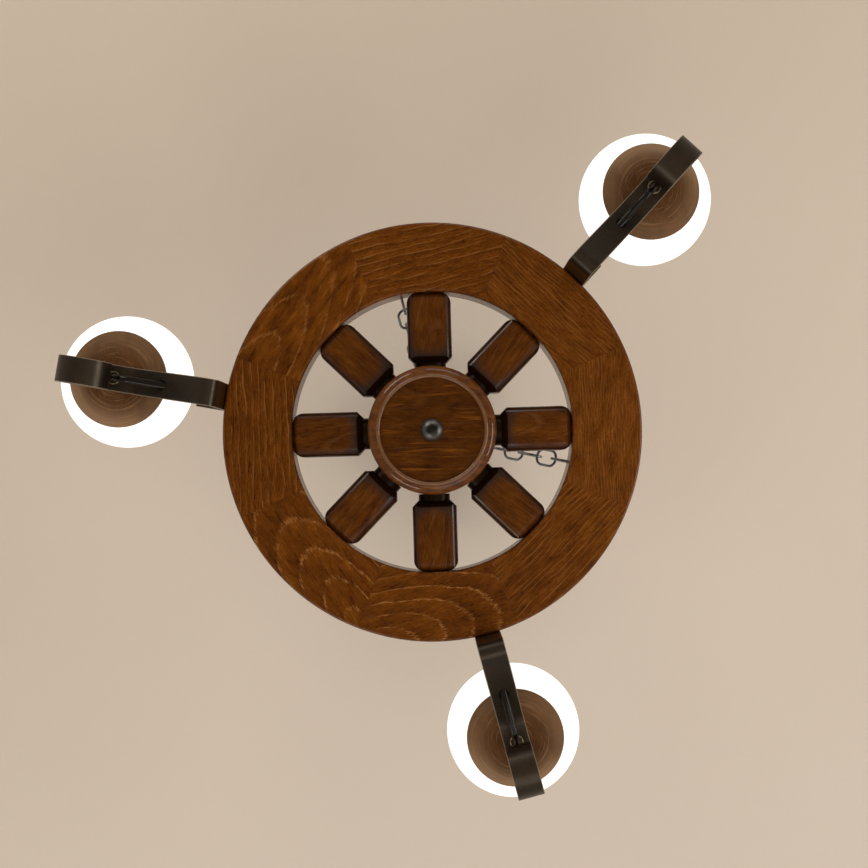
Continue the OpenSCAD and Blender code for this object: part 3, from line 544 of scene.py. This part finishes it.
# Painted reflection: the dome's middle is painted dark, as the dark room below mirrored there, and its
# outer slopes pale, as the brighter sides.
painted_reflection_mask = (x * x + y * y).clamp(6, 80)
feed(shader, "Base Color", (painted_reflection_mask * 0.85 + mm.noise(5, 3) * 0.15).mixed(
    linear(14, 12, 11), linear(124, 120, 114)))
feed(shader, "Roughness", mm.patchy(4, 0.36, 0.44))
dress(node["hub_dome_nut"], reflection_painted)

zinc, shader, mm = new_finish("zinc-plated steel", Metallic=1.0, Roughness=0.35)
feed(shader, "Base Color", mm.noise(4, 3).mixed(linear(150, 150, 148), linear(186, 187, 188)))
feed(shader, "Roughness", mm.patchy(2, 0.25, 0.45))
for name in ("hub_bolt", "hub_back_nut", "hook_nut", "ceiling_bar"):
    dress(node[name], zinc)

# ---------------------------------------------------------------------------
# Arms. Flat iron bar, 25 by 4 mm, bent cold: a tab, the leg that is screwed
# to the rim, a foot, the rise to the lamp and a scroll. Brushed satin black,
# with a pale highlight painted along the bar's edges.
# ---------------------------------------------------------------------------

bar_half = 12.5
for k in range(3):
    iron, shader, mm = new_finish(f"satin black iron {k + 1}", Roughness=0.31, Specular_IOR_Level=0.42,
                                  Specular_Tint=(1.0, 0.8, 0.6, 1.0))
    y = mm.placed(turn=-arm_az[k]).axes()[1]
    # Painted highlight: a pale line along both long edges of the bar, for the lamps' light caught on them.
    painted_edge_highlight = (y * y).clamp((bar_half - 1.0) ** 2, (bar_half - 0.1) ** 2)
    brushed = (mm.noise(1.6, 3) * 0.6 + mm.noise(30) * 0.4).clamp(0.36, 0.64)
    black = brushed.mixed(linear(10, 6, 2), linear(28, 19, 11))
    feed(shader, "Base Color", (painted_edge_highlight * 0.6).mixed(black, linear(158, 142, 118)))
    feed(shader, "Roughness", mm.patchy(2.2, 0.3, 0.42, 4))
    edge = mm.node("ShaderNodeBevel", {"samples": 6}, {"Radius": 0.0012})
    emboss(shader, mm.noise(2.4) * 0.6 + mm.noise(9) * 0.4, 0.14, edge)
    dress(node[f"arm_strap_{k + 1}"], iron)
dress(node["arm_screws"], iron)

# ---------------------------------------------------------------------------
# Cups. Shallow bowls turned across the grain from the same wood, stained
# and only rubbed, so they are duller and greyer than the rim. A pale haze
# towards one side of each lip is painted light from the globes.
# ---------------------------------------------------------------------------

cup_turn = [70, 20, 100]
for k in range(3):
    bowl, shader, mm = new_finish(f"rubbed cup wood {k + 1}", Roughness=0.55, Specular_IOR_Level=0.05)
    here = mm.placed(turn=-arm_az[k], shift=(-lamp_at[k] * 1000, 0, 0)).placed(turn=cup_turn[k])
    fibre = here.noise((9, 0.6, 2), 4, 0.6)
    cloud = here.noise((34, 16, 16), 3)
    x, y, z = here.axes()
    out = (x * x + y * y) ** 0.5
    round_it = x.math("ARCTAN2", y, x) * 30
    swirl = x.node("ShaderNodeCombineXYZ", inputs={0: round_it, 1: out, 2: z}).noise((50, 1.6, 6), 3, 0.55)
    body = (fibre * 0.5 + cloud * 0.5).clamp(0.3, 0.7, way="LINEAR").mixed(
        linear(56, 32, 13), linear(102, 67, 36))
    arcs = swirl.clamp(0.55, 0.65) * out.clamp(8, 20)
    body = (arcs * 0.36).mixed(body, linear(150, 114, 78))
    # Painted light: a pale haze towards the lip, stronger on one side, for the globes' glow falling on it.
    side = (x * 0.7 + y * 0.7 + out * 0.35).clamp(12, 56)
    painted_globe_glow = out.clamp(18, 48) * (side * 0.4 + 0.24)
    feed(shader, "Base Color", painted_globe_glow.mixed(body, linear(160, 130, 100)))
    feed(shader, "Roughness", fibre.clamp(0.2, 0.8, 0.48, 0.62))
    emboss(shader, swirl, 0.08)
    dress(node[f"cup_{k + 1}"], bowl)

# ---------------------------------------------------------------------------
# Stems and lampholders. A hollow brass stem with a collar clamps each arm
# under its cup and lets the flex out; a glazed porcelain holder stands on it.
# Inside the collar's edge the brass is painted dark, as shade and dim
# reflection on the collar's face and in its bore; only the edge shows bright.
# ---------------------------------------------------------------------------

for k in range(3):
    brass, shader, mm = new_finish(f"pale brass {k + 1}", Metallic=1.0, Roughness=0.3)
    x, y = mm.placed(turn=-arm_az[k], shift=(-lamp_at[k] * 1000, 0, 0)).axes()[:2]
    # Painted shade: the brass inside the collar's edge is darkened, so only the edge shows bright.
    painted_dark_face = (x * x + y * y).clamp(5.2 ** 2, 5.7 ** 2, 1.0, 0.0)
    bright = mm.noise(3, 3).mixed(linear(196, 176, 140), linear(224, 208, 176))
    feed(shader, "Base Color", (painted_dark_face * 0.85).mixed(bright, linear(40, 32, 24)))
    feed(shader, "Roughness", mm.patchy(1.5, 0.22, 0.38))
    dress(node[f"stem_{k + 1}"], brass)
glaze, shader, mm = new_finish("white glaze", Roughness=0.12, Coat_Weight=0.5)
feed(shader, "Base Color", mm.noise(8).mixed(linear(226, 222, 212), linear(240, 237, 230)))
for k in (1, 2, 3):
    dress(node[f"lampholder_{k}"], glaze)

# ---------------------------------------------------------------------------
# Glass balls and bulbs. Blown opal glass, white through and through, lit
# from inside so evenly that the ball glows to its edge.
# ---------------------------------------------------------------------------

opal, shader, mm = new_finish("lit opal glass", Roughness=0.16, Emission_Strength=0.9)
soft = mm.noise(60)
feed(shader, "Base Color", soft.mixed(linear(186, 186, 183), linear(196, 196, 193)))
feed(shader, "Emission Color", soft.mixed((0.93, 0.93, 0.91, 1), (0.98, 0.98, 0.97, 1)))
lit, shader, mm = new_finish("lit frosted bulb", Roughness=0.3, Emission_Strength=1.1)
feed(shader, "Base Color", mm.noise(9).mixed(linear(150, 144, 132), linear(170, 164, 152)))
feed(shader, "Emission Color", mm.noise(20).mixed((1, 0.93, 0.82, 1), (1, 0.97, 0.9, 1)))
for k in (1, 2, 3):
    dress(node[f"globe_{k}"], opal)
    dress(node[f"bulb_{k}"], lit)

# ---------------------------------------------------------------------------
# Chains. Welded links of drawn steel wire between an eye screw in the rim's
# top and one ring, which hangs on the ceiling hook.
# ---------------------------------------------------------------------------

wire, shader, mm = new_finish("drawn steel wire", Metallic=1.0, Roughness=0.3)
feed(shader, "Base Color", mm.noise(6, 3).mixed(linear(104, 106, 110), linear(146, 148, 152)))
feed(shader, "Roughness", mm.patchy(1.4, 0.26, 0.44))
emboss(shader, mm.noise(0.5, 3), 0.02)
for name in ("chain_1", "chain_2", "chain_3", "eye_screws", "top_ring", "ceiling_hook"):
    dress(node[name], wire)

# ---------------------------------------------------------------------------
# Canopy and junction box. Spun and drawn steel in the arms' black, and a
# moulded terminal block inside the box.
# ---------------------------------------------------------------------------

enamel, shader, mm = new_finish("satin black enamel", Roughness=0.36, Specular_IOR_Level=0.5,
                                Coat_Weight=0.2)
feed(shader, "Base Color", mm.noise(16, 3).mixed(linear(32, 28, 25), linear(46, 41, 37)))
feed(shader, "Roughness", mm.patchy(2, 0.3, 0.42, 4))
emboss(shader, mm.noise(0.6, 3), 0.02)
for name in ("canopy", "canopy_nut", "junction_base", "junction_cover", "cover_gland"):
    dress(node[name], enamel)

block, shader, mm = new_finish("moulded terminal block", Roughness=0.5)
feed(shader, "Base Color", mm.noise(4).mixed(linear(206, 202, 192), linear(222, 218, 208)))
dress(node["terminal_block"], block)
